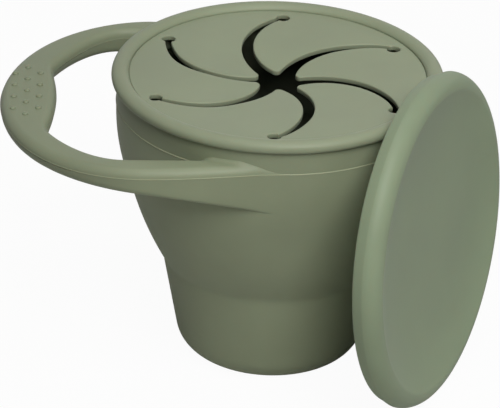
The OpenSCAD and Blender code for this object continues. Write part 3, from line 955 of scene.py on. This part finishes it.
class SNACK_OT_flaps(bpy.types.Operator):
    """Build the six curved flaps, each with its share of the lid's disc"""

    bl_idname = "snack.flaps"
    bl_label = "Lid flaps"

    def execute(self, context):
        cup, lid = context.scene.snack_cup, context.scene.snack_lid
        for k in range(1, FLAPS + 1):
            points, faces = flap_mesh(cup, lid, {2: lid.lift_2, 3: lid.lift_3}.get(k, 0))
            turn = lid.hole_angle + SECTOR * (k - 0.5)
            placed = [settled(cup, lid, Matrix.Rotation(turn, 3, "Z") @ Vector(p))
                      for p in points]
            thing = mesh_object(f"petal_{k}", placed, faces, silicone("lid"), 50)
            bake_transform(thing)
            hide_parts(f"flap_{k}")
        return {"FINISHED"}


class SNACK_OT_cover(bpy.types.Operator):
    """Build the dust cover that leans on the lid"""

    bl_idname = "snack.cover"
    bl_label = "Dust cover"

    def execute(self, context):
        cover = context.scene.snack_cover
        points, faces = revolve(cover_outline(cover), TURNS)
        placed = [cover_place(cover) @ Vector(p) for p in points]
        thing = mesh_object("leaning_cover", placed, faces, silicone("cover"), 40)
        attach(thing, "cover")
        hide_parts("dust_cover")
        return {"FINISHED"}


def add_lamp(name, place, target, size, power):
    """A soft square lamp that faces the target. Its size is in metres and its power in watts."""
    light = bpy.data.lights.new(name, "AREA")
    light.shape, light.size, light.energy = "SQUARE", size, power
    lamp = add_object(name, light)
    lamp.location = place
    lamp.rotation_euler = (Vector(target) - Vector(place)).to_track_quat("-Z", "Y").to_euler()


class SNACK_OT_stage(bpy.types.Operator):
    """Set the floor, the soft light, the white backdrop and the camera"""

    bl_idname = "snack.stage"
    bl_label = "Stage"

    def camera(self):
        """The camera at the photograph's viewing angle."""
        place, target = Vector((0, -1.19835, 0.67159)), Vector((-0.0068, 0, 0.04473))
        lens = bpy.data.cameras.new("photo_camera")
        lens.sensor_width, lens.lens = 36, 336.36
        lens.clip_start, lens.clip_end = 0.05, 20
        roll = Matrix.Rotation(math.radians(1.8), 4, "Z")
        aim = (target - place).to_track_quat("-Z", "Y").to_matrix().to_4x4()
        eye = add_object("photo_camera", lens)
        eye.matrix_world = Matrix.Translation(place) @ aim @ roll
        bpy.context.scene.camera = eye

    def world(self):
        """White where the camera or a reflection sees it, and a dim even light elsewhere."""
        world = bpy.data.worlds.new("white_backdrop")
        bpy.context.scene.world = world
        world.use_nodes = True
        world.node_tree.nodes.clear()
        node = partial(add_node, world.node_tree)
        path = node("ShaderNodeLightPath")
        seen = path.outputs["Is Camera Ray"]
        for ray in ("Is Glossy Ray", "Is Transmission Ray"):
            seen = node("ShaderNodeMath", {"operation": "MAXIMUM"}, _0=seen, _1=path.outputs[ray])
        dim, white = (node("ShaderNodeBackground", Color=(1, 1, 1, 1), Strength=level)
                      for level in (0.01, 1.0))
        both = node("ShaderNodeMixShader", _0=seen, _1=dim, _2=white)
        node("ShaderNodeOutputWorld", Surface=both)

    def execute(self, context):
        shade = context.scene.snack_finishes.floor
        floor, reach = bpy.data.meshes.new("floor"), 4
        corners = [(x * reach, y * reach, 0) for x, y in ((-1, -1), (1, -1), (1, 1), (-1, 1))]
        floor.from_pydata(corners, [], [(0, 1, 2, 3)])
        floor.materials.append(paper_sweep("white_paper_sweep", shade))
        add_object("floor", floor)
        middle = (0, 0, 0.05)
        add_lamp("front_softbox", (0.29, -0.88, 1.17), middle, size=0.8, power=19.2)
        add_lamp("overhead_softbox", (0, 0.05, 1.45), middle, size=0.5, power=4.0)
        self.world()
        self.camera()
        context.scene.view_settings.view_transform = "Standard"
        return {"FINISHED"}


class SNACK_PT_panel(bpy.types.Panel):
    """Lists the pieces of the snack cup"""

    bl_idname = "SNACK_PT_panel"
    bl_label = "Snack Cup"
    bl_space_type = "VIEW_3D"
    bl_region_type = "UI"
    bl_category = "Snack Cup"

    def draw(self, context):
        for operator in OPERATORS:
            self.layout.operator(operator.bl_idname)


GROUPS = {"snack_cup": CupSizes, "snack_handle": HandleSizes, "snack_lid": LidSizes,
          "snack_cover": CoverSizes, "snack_finishes": Finishes}
OPERATORS = (SNACK_OT_cup, SNACK_OT_handle, SNACK_OT_dots, SNACK_OT_rim, SNACK_OT_flaps,
             SNACK_OT_cover, SNACK_OT_stage)


def register():
    """Registers the classes and hangs the sizes on the scene."""
    for kind in (*GROUPS.values(), *OPERATORS, SNACK_PT_panel):
        bpy.utils.register_class(kind)
    for name, kind in GROUPS.items():
        setattr(bpy.types.Scene, name, PointerProperty(type=kind))


def unregister():
    """Takes the sizes and the classes away again."""
    for name in GROUPS:
        delattr(bpy.types.Scene, name)
    for kind in (SNACK_PT_panel, *OPERATORS[::-1], *GROUPS.values()):
        bpy.utils.unregister_class(kind)


def main():
    """Builds the whole scene."""
    register()
    for operator in OPERATORS:
        group, name = operator.bl_idname.split(".")
        getattr(getattr(bpy.ops, group), name)()


if __name__ == "__main__":
    main()
